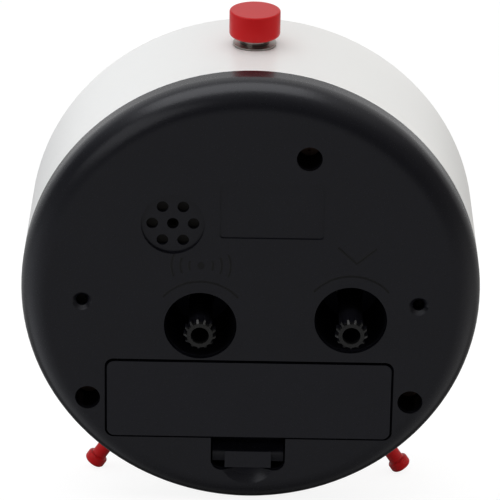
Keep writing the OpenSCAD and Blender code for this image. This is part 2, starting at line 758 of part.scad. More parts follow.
// Knob with toothed hollow head on a shaft that comes out of the movement
module knob(reach, at, turn) let (face = back_y + reach) difference() {
    union() {
        intersection() {
            translate([at[0], 0, at[1]]) slab(face - knob_head, face) polygon(knob_points(turn));
            union() {
                rod(knob_d / 2 + 0.1, face - knob_head - 1, face - knob_slope, at);
                cone(knob_d / 2 + 0.1, knob_root_r + 0.05, face - knob_slope - 0.001, face, at);
            }
        }
        rod(knob_shaft_d / 2, mov_end + 0.2, face - knob_head + 0.5, at);
    }
    rod(0.28 * knob_d, face - knob_bore, face + 1, at);
}

module time_spindle() color([0.15, 0.15, 0.16]) stand() union() {
    knob(time_reach, time_at, time_stand);
    rod(1.55, mov_in + 0.2, mov_end + 0.5, time_at);
    rod(0.8, mov_y + 0.4, mov_in + 0.5, time_at);
    wheel(20, motion_m, time_turn, layer(3), layer(3) + wheel_t, time_at);
}

module alarm_spindle() color([0.15, 0.15, 0.16]) stand() union() {
    knob(alarm_reach, alarm_at, alarm_stand);
    rod(1.3, mov_in + 0.2, mov_end + 0.5, alarm_at);
    rod(0.8, mov_y + 0.4, mov_in + 0.5, alarm_at);
    wheel(20, alarm_m, 0, layer(1), layer(1) + wheel_t, alarm_at);
}

module motion_wheel() color("ivory") stand() difference() {
    union() {
        wheel(36, motion_m, 0, layer(3), layer(3) + wheel_t, motion_at);
        wheel(10, hour_m, 0, layer(2) - 0.1, layer(3) + 0.1, motion_at);
    }
    rod(0.6 + run, mov_in, layer(5), motion_at);
}

module minute_arbor() color("ivory") stand() difference() {
    union() {
        rod(minute_r, minute_hand_y, layer(4) + wheel_t + 0.25);
        wheel(12, motion_m, cannon_turn, layer(3) - 0.1, layer(3) + wheel_t);
    }
    rod(arbor_r + run, minute_hand_y - 1, layer(6));
}

module hour_wheel() color("ivory") stand() difference() {
    union() {
        rod(hour_r, hour_hand_y, layer(2) + 0.5);
        wheel(40, hour_m, hour_turn, layer(2), layer(2) + wheel_t);
    }
    rod(minute_r + run, hour_hand_y - 1, layer(3));
}

module alarm_wheel() color("ivory") stand() difference() {
    union() {
        rod(alarm_r, alarm_hand_y, layer(1) + 0.5);
        wheel(40, alarm_m, alarm_turn, layer(1), layer(1) + wheel_t);
    }
    rod(hour_r + run, alarm_hand_y - 1, layer(2));
}

module second_arbor() color("ivory") stand() union() {
    rod(arbor_r, second_hand_y, mov_end - 0.4);
    wheel(50, second_m, 0, layer(5), layer(5) + wheel_t);
    wheel(8, third_m, 0, layer(5) + 0.5, layer(6) + wheel_t);
}

// Thin arbor between the two plates
module arbor(at) rod(0.4, mov_y + 0.4, mov_end - 0.4, at);

module step_wheel() color("ivory") stand() union() {
    arbor(step_at);
    wheel(10, second_m, step_turn, layer(5) - 0.1, layer(6) + 0.1, step_at);
    wheel(48, step_m, 0, layer(6), layer(6) + wheel_t, step_at);
}

module rotor() color("dimgray") stand() union() {
    arbor(rotor_at);
    rod(rotor_r, mov_in + 0.25, mov_in + 1.9, rotor_at);
    wheel(8, step_m, rotor_turn, layer(6) - 0.1, layer(6) + wheel_t + 0.1, rotor_at);
}

module third_wheel() color("ivory") stand() union() {
    arbor(third_at);
    wheel(64, third_m, third_turn, layer(6), layer(6) + wheel_t, third_at);
    wheel(8, centre_m, 0, layer(4) - 0.1, layer(6) + 0.1, third_at);
}

module centre_wheel() color("goldenrod") stand() difference() {
    wheel(60, centre_m, centre_turn, layer(4), layer(4) + wheel_t);
    rod(minute_r + run, layer(3), layer(5) + 1);
}

module stator() color("dimgray") stand() difference() {
    union() {
        box(coil_start, stator_end, mov_in, mov_in + stator_t, stator_low, stator_low + stator_h);
        rod(eye_r, mov_in, mov_in + stator_t, rotor_at);
    }
    rod(rotor_hole_r, mov_in - 1, mov_in + 3, rotor_at);
}

module coil_core() color("dimgray") stand() union() {
    core_bar();
    for (x = [coil_start + core_foot, coil_stop - core_foot]) {
        box(x - core_foot, x + core_foot, core_y, core_y + core_t, stator_low + 0.2, coil_z + core_h / 2);
        rod(1.4, mov_in + stator_t, coil_y, [x, rotor_at[1]]);
    }
}

// Straight bar of the core, from end to end of the coil
module core_bar()
    box(coil_start, coil_stop, core_y, core_y + core_t, coil_z - core_h / 2, coil_z + core_h / 2);

// Round bar in x along the coil
module coil_bar(r, x0, x1) translate([x0, coil_y, coil_z]) rotate([0, 90, 0]) cylinder(r = r, h = x1 - x0);

module coil_bobbin() color("ivory") stand() difference() {
    union() {
        coil_bar(bobbin_r, bobbin_start, bobbin_stop);
        coil_bar(flange_r, bobbin_start, bobbin_start + flange_w);
        coil_bar(flange_r, bobbin_stop - flange_w, bobbin_stop);
    }
    core_bar();
}

module coil_winding() color("peru") stand() difference() {
    coil_bar(winding_r, bobbin_start + flange_w, bobbin_stop - flange_w);
    coil_bar(bobbin_r, bobbin_start, bobbin_stop);
}

module circuit_board() color("darkgreen") stand()
    box(board_start, board_stop, mov_out - 2 * board_t, mov_out - board_t, board_low, board_low + board_h);

module chip() color("black") stand()
    rod(chip_r, mov_out - 2 * board_t - 1.1, mov_out - 2 * board_t, [board_stop - 5.6, board_low + 5]);

module quartz_can() color("silver") stand()
    translate([board_start + 1.5, mov_out - 2 * board_t - can_r, board_low + 2]) rotate([0, 90, 0])
        cylinder(r = can_r, h = 6);

module alarm_contact() color("gold") stand() {
    box(9.6, contact_stop, mov_in + 0.75, mov_in + 1.05, contact_z - 1.4, contact_z + 1.4);
    box(contact_stop - 3, contact_stop, mov_in, mov_in + 1.05, contact_z - 1.4, contact_z + 1.4);
}

// Hand with a round hub, a long blade and a tail
module hand(y0, angle, len, wide, tip, tail, hub, bore) slab(y0, y0 + hand_t) difference() {
    rotate(-angle) {
        circle(hub);
        polygon([
            [-wide / 2, -tail],
            [wide / 2, -tail],
            [wide / 2, len - wide],
            [tip / 2, len],
            [-tip / 2, len],
            [-wide / 2, len - wide]
        ]);
    }
    circle(bore + 0.01);
}

module hour_hand() color("black") stand() hand(hour_hand_y, 304, hour_len, 2.6, 0.6, 7, 3.2, hour_r);

module minute_hand() color("black") stand() hand(minute_hand_y, 48, minute_len, 2.2, 0.6, 8, 2.6, minute_r);

module second_hand() color("red") stand() hand(second_hand_y, 132, second_len, 0.8, 0.4, 12, 2.2, arbor_r);

module alarm_hand() color("red") stand() hand(alarm_hand_y, 195, alarm_len, 1.6, 0.4, 3, 3.8, alarm_r);

drum_case();
front_bezel();
lens();
dial_spacer();
dial();
back_cover();
case_screws();
battery_door();
door_latch();
battery_cell();
battery_spring();
battery_plate();
sounder();
foot_left();
foot_right();
foot_screws();
button_cap();
button_stem();
stem_collar();
button_bush();
bush_nut();
button_spring();
alarm_switch();
movement_front();
movement_rear();
movement_screws();
time_spindle();
motion_wheel();
minute_arbor();
hour_wheel();
alarm_spindle();
alarm_wheel();
second_arbor();
step_wheel();
rotor();
third_wheel();
centre_wheel();
stator();
coil_core();
coil_bobbin();
coil_winding();
circuit_board();
chip();
quartz_can();
alarm_contact();
hour_hand();
minute_hand();
second_hand();
alarm_hand();
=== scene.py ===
"""Looks of the retro alarm clock: materials, dial print, moulded signs, light and camera."""
import json
import math

import bmesh
import bpy
from mathutils import Matrix, Vector


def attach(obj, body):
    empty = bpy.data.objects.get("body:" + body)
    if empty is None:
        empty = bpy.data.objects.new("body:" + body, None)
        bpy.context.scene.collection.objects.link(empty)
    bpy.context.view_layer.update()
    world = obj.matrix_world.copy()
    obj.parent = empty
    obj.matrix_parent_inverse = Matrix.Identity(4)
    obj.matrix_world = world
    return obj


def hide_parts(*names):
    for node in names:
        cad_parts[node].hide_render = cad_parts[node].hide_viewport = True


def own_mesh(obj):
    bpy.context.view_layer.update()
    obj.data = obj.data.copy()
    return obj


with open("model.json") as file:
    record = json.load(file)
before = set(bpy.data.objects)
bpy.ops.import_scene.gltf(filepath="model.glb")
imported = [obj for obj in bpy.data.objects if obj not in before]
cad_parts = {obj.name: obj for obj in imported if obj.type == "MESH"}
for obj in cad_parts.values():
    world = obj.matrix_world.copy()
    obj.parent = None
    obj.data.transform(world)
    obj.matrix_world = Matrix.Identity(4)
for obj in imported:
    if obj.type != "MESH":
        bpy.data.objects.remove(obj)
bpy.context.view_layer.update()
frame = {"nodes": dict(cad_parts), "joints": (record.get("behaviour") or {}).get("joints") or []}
MM = 0.001

# The clock's own frame: x to the right as the dial is faced, y towards the back, z up along the leaning case
joints = {joint["name"]: joint for joint in frame["joints"]}
seam = Vector(joints["second_turn"]["pos_m"])
axis_back = Vector(joints["second_turn"]["axis"]).normalized()
axis_side = Vector((1, 0, 0))
axis_up = axis_side.cross(axis_back)
CLOCK = Matrix((axis_side, axis_back, axis_up)).transposed().to_4x4()
CLOCK.translation = seam
TO_CLOCK = CLOCK.inverted()
LEAN = math.atan2(-axis_back.z, axis_back.y)


def clock_box(node):
    """Lowest and highest corner of a CAD node in the clock's own frame, in metres."""
    points = [TO_CLOCK @ vertex.co for vertex in frame["nodes"][node].data.vertices]
    low = Vector(min(p[i] for p in points) for i in range(3))
    high = Vector(max(p[i] for p in points) for i in range(3))
    return low, high


def joint_place(name):
    """Place of a joint's axis in the clock's own frame, in metres."""
    return TO_CLOCK @ Vector(joints[name]["pos_m"])


# Driving places, read from the frame
DIAL_MARGIN = 2.7 * MM
DRUM_R = clock_box("drum_case")[1].x
DIAL_FACE = clock_box("dial")[0].y
DIAL_R = clock_box("dial_spacer")[1].x - DIAL_MARGIN
BACK_Y = clock_box("battery_door")[1].y
TIME_AT = joint_place("time_turn")
ALARM_AT = joint_place("alarm_turn")


# Node trees

class Tree:
    """A node tree with short calls, in which an input takes another node's output or a plain value."""

    def __init__(self, owner):
        owner.use_nodes = True
        self.nodes = owner.node_tree.nodes
        self.links = owner.node_tree.links

    def feed(self, node, inputs):
        """Links outputs to a node's inputs, and sets plain values on the inputs themselves."""
        for name, value in inputs.items():
            if isinstance(value, bpy.types.NodeSocket):
                self.links.new(value, node.inputs[name])
            else:
                node.inputs[name].default_value = value

    def add(self, kind, inputs=None, **settings):
        """Adds a node, with its settings made before its inputs; returns its outputs."""
        node = self.nodes.new("ShaderNode" + kind)
        for name, value in settings.items():
            setattr(node, name, value)
        self.feed(node, inputs or {})
        return node.outputs

    def noise(self, scale, detail=3.0, roughness=0.55):
        """Noise in object space, with scale in features per metre."""
        place = self.add("TexCoord")["Object"]
        inputs = {"Vector": place, "Scale": scale, "Detail": detail, "Roughness": roughness}
        return self.add("TexNoise", inputs)["Fac"]

    def wave(self, direction, scale, wobble=0.0):
        """Bands along one direction of object space."""
        place = self.add("TexCoord")["Object"]
        inputs = {"Vector": place, "Scale": scale, "Distortion": wobble}
        return self.add("TexWave", inputs, bands_direction=direction)["Fac"]

    def span(self, value, low, high, start=0.0, end=1.0):
        """Maps start..end to low..high."""
        inputs = {"Value": value, "From Min": start, "From Max": end, "To Min": low, "To Max": high}
        return self.add("MapRange", inputs)["Result"]

    def mix(self, share, start, end):
        """Mixes two numbers by a 0..1 share."""
        return self.add("Mix", {"Factor": share, "A": start, "B": end})["Result"]

    def shade(self, share, start, end):
        """Mixes two colours by a 0..1 share."""
        return self.add("Mix", {"Factor": share, "A": start, "B": end}, data_type="RGBA")["Result"]

    def calc(self, operation, *values, clamp=False):
        """One operation on one to three numbers."""
        return self.add("Math", dict(enumerate(values)), operation=operation, use_clamp=clamp)["Value"]

    def bump(self, height, strength, distance):
        """Relief from a height."""
        return self.add("Bump", {"Height": height, "Strength": strength, "Distance": distance})["Normal"]

    def show(self, surface):
        """Makes a shader the surface of the material."""
        self.feed(self.nodes["Material Output"], {"Surface": surface})


# Materials

# Painted shade in deep places, dull and dark as in a hollow that no light reaches: the depths at which it
# starts and is full, the radius of its zone, and its finish
BACK_SHADE_DEPTHS = (0.9 * MM, 1.7 * MM)
KNOB_SHADE_DEPTHS = (0.9 * MM, 1.4 * MM)
SHADE_WITHIN = 0.9 * DRUM_R
SHADE_ROUGH = 0.6
PAINTED_SHADE_COLOUR = (0.024, 0.024, 0.033, 1)

# Cool shine of the black mouldings
COOL = (0.94, 0.95, 1.0)

# Grain of the solid finishes
FINE_DETAIL = 2.0
GRAIN_STRENGTH = 1.0

# Turned metal: fine rings with their relief, and smudges
RING_SCALE = 900
RING_WOBBLE = 1.5
RING_RELIEF = (0.15, 0.01 * MM)
SMUDGE_SCALE = 350
SMUDGE_DARK = 0.92

# Clear sheet
SHEET_COLOUR = (0.985, 0.99, 0.99, 1)
SHEET_ROUGH = (0.01, 0.05)
SHEET_SMUDGE_SCALE = 40
SHEET_IOR = 1.49

# Wound wire
TURN_SCALE = 1600
TURN_RELIEF = (0.8, 0.06 * MM)
TURN_GAP_COLOUR = (0.22, 0.06, 0.02, 1)
TURN_COLOUR = (0.60, 0.24, 0.10, 1)
TURN_METALLIC = 0.8
TURN_ROUGH = 0.35


def new_material(name):
    """A node material; returns the material, its tree and its Principled shader."""
    material = bpy.data.materials.new(name)
    tree = Tree(material)
    return material, tree, tree.nodes["Principled BSDF"]


def below(face, depths):
    """Places under a face at the given depths."""
    return [face - depth for depth in depths]


def sunk_share(tree, start, full):
    """Share of the painted shade: 0 outside of the depth y = start and 1 from y = full inwards, inside the
    flat of the back.
    """
    place = tree.add("TexCoord")["Object"]
    move = {"Vector": place, "Location": TO_CLOCK.translation, "Rotation": TO_CLOCK.to_euler()}
    local = tree.add("Mapping", move)["Vector"]
    depth = tree.span(tree.add("SeparateXYZ", {"Vector": local})["Y"], 0.0, 1.0, start, full)
    flat = tree.add("VectorMath", {0: local, 1: (1, 0, 1)}, operation="MULTIPLY")["Vector"]
    radius = tree.add("VectorMath", {0: flat}, operation="LENGTH")["Value"]
    inside = tree.calc("LESS_THAN", radius, SHADE_WITHIN)
    return tree.calc("MULTIPLY", depth, inside)


def finish(name, dark, light, rough, cloud=60, grain=2500, grain_depth=0.0, metallic=0.0, specular=0.5,
           tint=(1, 1, 1), shade_depths=None):
    """A solid finish: cloudy colour between dark and light, roughness range, and a fine grain in relief.

    Deeper than the two given depths it is dull and painted dark, a painted shade as in a hollow that no light
    reaches.
    """
    material, tree, shader = new_material(name)
    fine = tree.noise(grain, FINE_DETAIL)
    colour = tree.shade(tree.noise(cloud), (*dark, 1), (*light, 1))
    roughness = tree.span(fine, *rough)
    if shade_depths:
        # Painted shade: the hollows are made darker, rougher and metallic so that they hardly show light
        share = sunk_share(tree, *shade_depths)
        roughness = tree.mix(share, roughness, SHADE_ROUGH)
        colour = tree.shade(share, colour, PAINTED_SHADE_COLOUR)
        metallic = share
    tree.feed(shader, {"Base Color": colour, "Roughness": roughness, "Metallic": metallic,
                       "Specular IOR Level": specular, "Specular Tint": (*tint, 1)})
    if grain_depth:
        tree.feed(shader, {"Normal": tree.bump(fine, GRAIN_STRENGTH, grain_depth)})
    return material


def knob_finish(name, node):
    """Black knob whose end is glossy, and whose sides behind the end are dull and darkened with painted
    shade.
    """
    face = clock_box(node)[1].y
    return finish(name, (0.010, 0.010, 0.010), (0.014, 0.014, 0.0138), (0.24, 0.32), cloud=200, grain=2600,
                  grain_depth=0.01 * MM, shade_depths=below(face, KNOB_SHADE_DEPTHS))


def turned_metal(name, colour, rough):
    """Bright metal with the fine rings of a lathe."""
    material, tree, shader = new_material(name)
    rings = tree.wave("Z", RING_SCALE, RING_WOBBLE)
    smudge = tree.noise(SMUDGE_SCALE)
    smudged = [SMUDGE_DARK * part for part in colour]
    tree.feed(shader, {"Base Color": tree.shade(smudge, (*smudged, 1), (*colour, 1)),
                       "Roughness": tree.span(smudge, *rough),
                       "Normal": tree.bump(rings, *RING_RELIEF),
                       "Metallic": 1.0})
    return material


def clear_sheet(name):
    """Clear acrylic sheet that lets light through to the dial."""
    material, tree, shader = new_material(name)
    smudge = tree.noise(SHEET_SMUDGE_SCALE)
    tree.feed(shader, {"Base Color": SHEET_COLOUR, "Roughness": tree.span(smudge, *SHEET_ROUGH),
                       "Transmission Weight": 1.0, "IOR": SHEET_IOR})
    shadow = tree.add("LightPath")["Is Shadow Ray"]
    through = tree.add("BsdfTransparent")["BSDF"]
    tree.show(tree.add("MixShader", {"Fac": shadow, 1: shader.outputs["BSDF"], 2: through})["Shader"])
    return material


def wound_wire(name):
    """Enamelled copper wire wound in fine turns along x."""
    material, tree, shader = new_material(name)
    turns = tree.wave("X", TURN_SCALE)
    tree.feed(shader, {"Base Color": tree.shade(turns, TURN_GAP_COLOUR, TURN_COLOUR),
                       "Normal": tree.bump(turns, *TURN_RELIEF),
                       "Metallic": TURN_METALLIC, "Roughness": TURN_ROUGH})
    return material


white = finish("white_satin", (0.80, 0.80, 0.79), (0.83, 0.83, 0.82), (0.30, 0.38),
               cloud=30, grain=900, grain_depth=0.004 * MM)
# Hollows deeper than the back's flat get painted shade
black = finish("black_moulded", (0.0050, 0.0050, 0.0074), (0.0066, 0.0066, 0.0096), (0.22, 0.30),
               cloud=90, grain=3200, grain_depth=0.02 * MM, specular=0.53, tint=COOL,
               shade_depths=below(BACK_Y, BACK_SHADE_DEPTHS))
door_black = finish("black_door", (0.0054, 0.0054, 0.0084), (0.0070, 0.0070, 0.0106), (0.22, 0.30),
                    cloud=70, grain=3000, grain_depth=0.015 * MM, specular=0.53, tint=COOL)
sign_black = finish("black_sign", (0.0045, 0.0045, 0.0050), (0.0058, 0.0058, 0.0064), (0.38, 0.46),
                    cloud=400, specular=0.42)
time_black = knob_finish("black_time_knob", "time_spindle")
alarm_black = knob_finish("black_alarm_knob", "alarm_spindle")
red = finish("red_satin", (0.50, 0.006, 0.008), (0.55, 0.008, 0.010), (0.28, 0.30),
             cloud=120, grain=1500, grain_depth=0.002 * MM, specular=0.21)
chrome = turned_metal("bright_chrome", (0.34, 0.30, 0.285), (0.08, 0.13))
nickel = turned_metal("dull_nickel", (0.48, 0.47, 0.44), (0.36, 0.44))
steel = turned_metal("plain_steel", (0.50, 0.50, 0.51), (0.28, 0.40))
brass = turned_metal("plain_brass", (0.62, 0.42, 0.15), (0.25, 0.38))
screw_brown = turned_metal("browned_steel", (0.26, 0.17, 0.13), (0.32, 0.42))
sounder_plate = finish("sounder_plate", (0.030, 0.028, 0.025), (0.042, 0.039, 0.035), (0.5, 0.6), cloud=300)
iron = finish("dark_iron", (0.06, 0.06, 0.062), (0.10, 0.10, 0.105), (0.45, 0.6), cloud=400, metallic=0.7)
dial_white = finish("dial_white", (0.78, 0.765, 0.715), (0.81, 0.795, 0.745), (0.55, 0.65),
                    cloud=25, grain=1800, grain_depth=0.005 * MM)
pale = finish("pale_moulded", (0.60, 0.59, 0.54), (0.68, 0.67, 0.62), (0.42, 0.55),
              cloud=200, grain=2200, grain_depth=0.01 * MM)
hand_black = finish("hand_black", (0.012, 0.012, 0.012), (0.018, 0.018, 0.018), (0.45, 0.55), cloud=300)
hand_red = finish("hand_red", (0.44, 0.018, 0.018), (0.50, 0.024, 0.022), (0.40, 0.50), cloud=300)
ink = finish("dial_ink", (0.010, 0.010, 0.011), (0.016, 0.016, 0.017), (0.55, 0.65), cloud=500)
board = finish("board_green", (0.02, 0.10, 0.045), (0.035, 0.15, 0.065), (0.30, 0.45), cloud=500)
jacket = finish("cell_jacket", (0.22, 0.23, 0.25), (0.28, 0.29, 0.31), (0.28, 0.36), cloud=80, metallic=0.6)
copper = wound_wire("copper_wire")
clear = clear_sheet("clear_sheet")

finishes = {
    white: ["drum_case", "front_bezel", "dial_spacer"],
    black: ["back_cover", "alarm_switch", "chip"],
    door_black: ["battery_door", "door_latch"],
    time_black: ["time_spindle"],
    alarm_black: ["alarm_spindle"],
    red: ["button_cap", "foot_left", "foot_right"],
    chrome: ["button_stem"],
    nickel: ["button_bush"],
    steel: ["foot_screws", "movement_screws", "stem_collar", "bush_nut", "button_spring", "battery_spring",
            "battery_plate", "quartz_can"],
    brass: ["alarm_contact"],
    screw_brown: ["case_screws"],
    sounder_plate: ["sounder"],
    iron: ["rotor", "stator", "coil_core"],
    dial_white: ["dial"],
    pale: ["movement_front", "movement_rear", "motion_wheel", "minute_arbor", "hour_wheel", "alarm_wheel",
           "second_arbor", "step_wheel", "third_wheel", "centre_wheel", "coil_bobbin"],
    hand_black: ["hour_hand", "minute_hand"],
    hand_red: ["second_hand", "alarm_hand"],
    board: ["circuit_board"],
    jacket: ["battery_cell"],
    copper: ["coil_winding"],
    clear: ["lens"],
}


def dress(mesh, material):
    """Gives a mesh one material."""
    mesh.materials.clear()
    mesh.materials.append(material)


for material, names in finishes.items():
    for name in names:
        dress(frame["nodes"][name].data, material)


# Pieces in the clock's own frame

def place_piece(name, mesh, material, body):
    """Makes a piece of a mesh that is in place, and lets it ride on a body."""
    dress(mesh, material)
    piece = bpy.data.objects.new(name, mesh)
    bpy.context.scene.collection.objects.link(piece)
    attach(piece, body)
    return piece


def add_piece(name, build, material, body):
    """Runs build(bm) in clock coordinates and makes a piece of what it builds."""
    bm = bmesh.new()
    build(bm)
    bmesh.ops.recalc_face_normals(bm, faces=bm.faces)
    bm.transform(CLOCK)
    mesh = bpy.data.meshes.new(name)
    bm.to_mesh(mesh)
    bm.free()
    return place_piece(name, mesh, material, body)


def prism(bm, outline, y0, y1):
    """A closed prism over an outline of (x, z) points, between two depths."""
    low = [bm.verts.new((x, y0, z)) for x, z in outline]
    high = [bm.verts.new((x, y1, z)) for x, z in outline]
    bm.faces.new(low)
    bm.faces.new(high)
    count = len(outline)
    for i in range(count):
        j = (i + 1) % count
        bm.faces.new((low[i], low[j], high[j], high[i]))


def arc(centre_x, centre_z, radius, start, end, count=24):
    """Points on an arc; angles in degrees, counted anticlockwise from +x as the dial is faced."""
    points = []
    for i in range(count + 1):
        turn = math.radians(start + (end - start) * i / count)
        points.append((centre_x + radius * math.cos(turn), centre_z + radius * math.sin(turn)))
    return points


# Moulded signs on the back: sound waves, two clock hands, and an arc over each knob; angles in degrees
SIGN_WIDTH = 0.55 * MM
SIGN_HEIGHT = 0.07 * MM
SIGN_SUNK = 0.02 * MM
SIGN_STEPS = 5
KNOB_ARC_R = 10.6 * MM
KNOB_ARC_SPAN = (40, 140)
WAVES_AT = (10.75 * MM, 8.4 * MM)
WAVE_SIDES = (0, 180)
WAVE_COUNT = 3
WAVE_START = 0.7 * MM
WAVE_STEP = 1.9 * MM
WAVE_HALF = 24
WAVE_POINTS = 8
DOT_R = 0.75 * MM
DOT_POINTS = 24
HANDS_AT = (-22.8 * MM, 9.4 * MM)
HAND_TIPS = ((-4.2 * MM, 3.6 * MM), (4.1 * MM, 3.8 * MM))


def ridge(bm, line):
    """A raised rounded line of the signs along (x, z) points on the back, closed at its ends."""
    rows = []
    for i, (x, z) in enumerate(line):
        ahead = line[min(i + 1, len(line) - 1)]
        behind = line[max(i - 1, 0)]
        way = Vector((ahead[0] - behind[0], ahead[1] - behind[1])).normalized()
        across = Vector((-way.y, way.x))
        row = []
        for k in range(SIGN_STEPS + 1):
            turn = math.pi * k / SIGN_STEPS
            reach = 0.5 * SIGN_WIDTH * math.cos(turn)
            rise = SIGN_HEIGHT * math.sin(turn) - SIGN_SUNK
            row.append(bm.verts.new((x + across.x * reach, BACK_Y + rise, z + across.y * reach)))
        rows.append(row)
    for a, b in zip(rows, rows[1:]):
        for k in range(SIGN_STEPS):
            bm.faces.new((a[k], a[k + 1], b[k + 1], b[k]))
        bm.faces.new((a[SIGN_STEPS], a[0], b[0], b[SIGN_STEPS]))
    bm.faces.new(rows[0])
    bm.faces.new(rows[-1])


def sound_sign(bm):
    """Waves to both sides of a dot."""
    for side in WAVE_SIDES:
        for step in range(1, WAVE_COUNT + 1):
            radius = WAVE_START + step * WAVE_STEP
            ridge(bm, arc(*WAVES_AT, radius, side - WAVE_HALF, side + WAVE_HALF, WAVE_POINTS))
    dot = arc(*WAVES_AT, DOT_R, 0, 360 - 360 / DOT_POINTS, DOT_POINTS - 1)
    prism(bm, dot, BACK_Y - SIGN_SUNK, BACK_Y + SIGN_HEIGHT)


def hands_sign(bm):
    """Two hands that meet in a point."""
    x, z = HANDS_AT
    for dx, dz in HAND_TIPS:
        ridge(bm, [(x, z), (x + 0.5 * dx, z + 0.5 * dz), (x + dx, z + dz)])


def knob_arcs(bm):
    """An arc over each knob."""
    for place in (TIME_AT, ALARM_AT):
        ridge(bm, arc(place.x, place.z, KNOB_ARC_R, *KNOB_ARC_SPAN))


add_piece("sign_sound", sound_sign, sign_black, "clock")
add_piece("sign_hands", hands_sign, sign_black, "clock")
add_piece("sign_arcs", knob_arcs, sign_black, "clock")


# Dial print: minute track, hour marks and plain numbers; a mark has a length and half a width
PRINT = 0.03 * MM
PRINT_SUNK = 0.005 * MM
TRACK_OUT = DIAL_R - 1.6 * MM
MINUTE_MARK = (1.6 * MM, 0.16 * MM)
HOUR_MARK = (3.2 * MM, 0.55 * MM)
NUMBER_R = DIAL_R - 9.6 * MM
NUMBER_SIZE = 8.2 * MM
NUMBER_STEPS = 6
TOP_TURN = 90
MINUTE_TURN = 6
HOUR_TURN = 30


def track(bm):
    """Marks for the minutes and the hours."""
    for minute in range(60):
        length, half = MINUTE_MARK if minute % 5 else HOUR_MARK
        turn = math.radians(TOP_TURN - MINUTE_TURN * minute)
        way = Vector((math.cos(turn), math.sin(turn)))
        across = Vector((-way.y, way.x)) * half
        inner = way * (TRACK_OUT - length)
        outer = way * TRACK_OUT
        corners = [inner - across, outer - across, outer + across, inner + across]
        prism(bm, [(c.x, c.y) for c in corners], DIAL_FACE - PRINT, DIAL_FACE + PRINT_SUNK)


add_piece("dial_track", track, ink, "clock")


def dial_number(hour):
    """A plain number as a thin mesh on the dial."""
    words = bpy.data.curves.new(f"number_{hour}", "FONT")
    words.body = str(hour)
    words.align_x = "CENTER"
    words.align_y = "CENTER"
    words.size = NUMBER_SIZE
    words.extrude = PRINT
    words.resolution_u = NUMBER_STEPS
    holder = bpy.data.objects.new("number_holder", words)
    bpy.context.scene.collection.objects.link(holder)
    bpy.context.view_layer.update()
    graph = bpy.context.evaluated_depsgraph_get()
    mesh = bpy.data.meshes.new_from_object(holder.evaluated_get(graph))
    bpy.data.objects.remove(holder)
    turn = math.radians(TOP_TURN - HOUR_TURN * hour)
    flat = Matrix.Rotation(math.radians(90), 4, "X")
    spot = Matrix.Translation((NUMBER_R * math.cos(turn), DIAL_FACE, NUMBER_R * math.sin(turn)))
    mesh.transform(CLOCK @ spot @ flat)
    place_piece(f"dial_number_{hour}", mesh, ink, "clock")


for hour in range(1, 13):
    dial_number(hour)


# Springs, wound finer than the solids that they stand for
BATTERY_WIRE = 0.4 * MM
BATTERY_TURNS = 5
BATTERY_TIP_R = 3.0 * MM
BUTTON_WIRE = 0.25 * MM
BUTTON_TURNS = 4
STEPS_PER_TURN = 48
WIRE_SIDES = 12
bay_low, bay_high = clock_box("battery_spring")
well_low, well_high = clock_box("button_spring")


def coil(bm, place, r0, r1, length, turns, wire):
    """One unbroken wire wound from r0 to r1 along z; place brings it into the clock's own frame."""
    steps = round(turns * STEPS_PER_TURN)
    rows = []
    for i in range(steps + 1):
        t = i / steps
        turn = 2 * math.pi * turns * t
        radius = r0 + (r1 - r0) * t
        row = []
        for j in range(WIRE_SIDES):
            around = 2 * math.pi * j / WIRE_SIDES
            reach = radius + wire * math.cos(around)
            rise = length * t + wire * math.sin(around)
            point = Vector((reach * math.cos(turn), reach * math.sin(turn), rise))
            row.append(bm.verts.new(place @ point))
        rows.append(row)
    for low, high in zip(rows, rows[1:]):
        for j in range(WIRE_SIDES):
            k = (j + 1) % WIRE_SIDES
            bm.faces.new((low[j], low[k], high[k], high[j]))
    bm.faces.new(rows[0])
    bm.faces.new(rows[-1])


def bay_spring(bm):
    """Tapered spring at the end of the battery bay, along x."""
    middle = (bay_low + bay_high) / 2
    start = Matrix.Translation((bay_low.x + BATTERY_WIRE, middle.y, middle.z))
    along_x = Matrix.Rotation(math.radians(90), 4, "Y")
    wide = (bay_high.z - bay_low.z) / 2 - BATTERY_WIRE
    length = bay_high.x - bay_low.x - 2 * BATTERY_WIRE
    coil(bm, start @ along_x, wide, BATTERY_TIP_R, length, BATTERY_TURNS, BATTERY_WIRE)


def stem_spring(bm):
    """Straight spring under the button's stem, along z."""
    middle = (well_low + well_high) / 2
    start = Matrix.Translation((middle.x, middle.y, well_low.z + BUTTON_WIRE))
    wide = (well_high.x - well_low.x) / 2 - BUTTON_WIRE
    length = well_high.z - well_low.z - 2 * BUTTON_WIRE
    coil(bm, start, wide, wide, length, BUTTON_TURNS, BUTTON_WIRE)


bay_coil = add_piece("battery_coil", bay_spring, steel, "clock")
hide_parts("battery_spring")
stem_coil = add_piece("button_coil", stem_spring, steel, "clock")
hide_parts("button_spring")
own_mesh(stem_coil)


# Floor: the grey that throws light back, and what the eye sees there, a grey that takes the shadow and a glow
FLOOR_BOUNCE = (0.45, 0.45, 0.45, 1)
FLOOR_SEEN = (0.2, 0.2, 0.2, 1)
FLOOR_GLOW = 0.87
FLOOR_ROUGH = 0.9
FLOOR_HALF = 6.0


def floor_material():
    """Pale floor that throws light back, and looks white to the eye with a soft shadow."""
    material, tree, shader = new_material("pale_floor")
    tree.feed(shader, {"Base Color": FLOOR_BOUNCE, "Roughness": FLOOR_ROUGH, "Specular IOR Level": 0.0})
    path = tree.add("LightPath")
    seen = tree.calc("MAXIMUM", path["Is Camera Ray"], path["Is Transmission Ray"])
    shadow = tree.add("BsdfDiffuse", {"Color": FLOOR_SEEN})["BSDF"]
    glow = tree.add("Emission", {"Strength": FLOOR_GLOW})["Emission"]
    together = tree.add("AddShader", {0: shadow, 1: glow})["Shader"]
    tree.show(tree.add("MixShader", {"Fac": seen, 1: shader.outputs["BSDF"], 2: together})["Shader"])
    return material


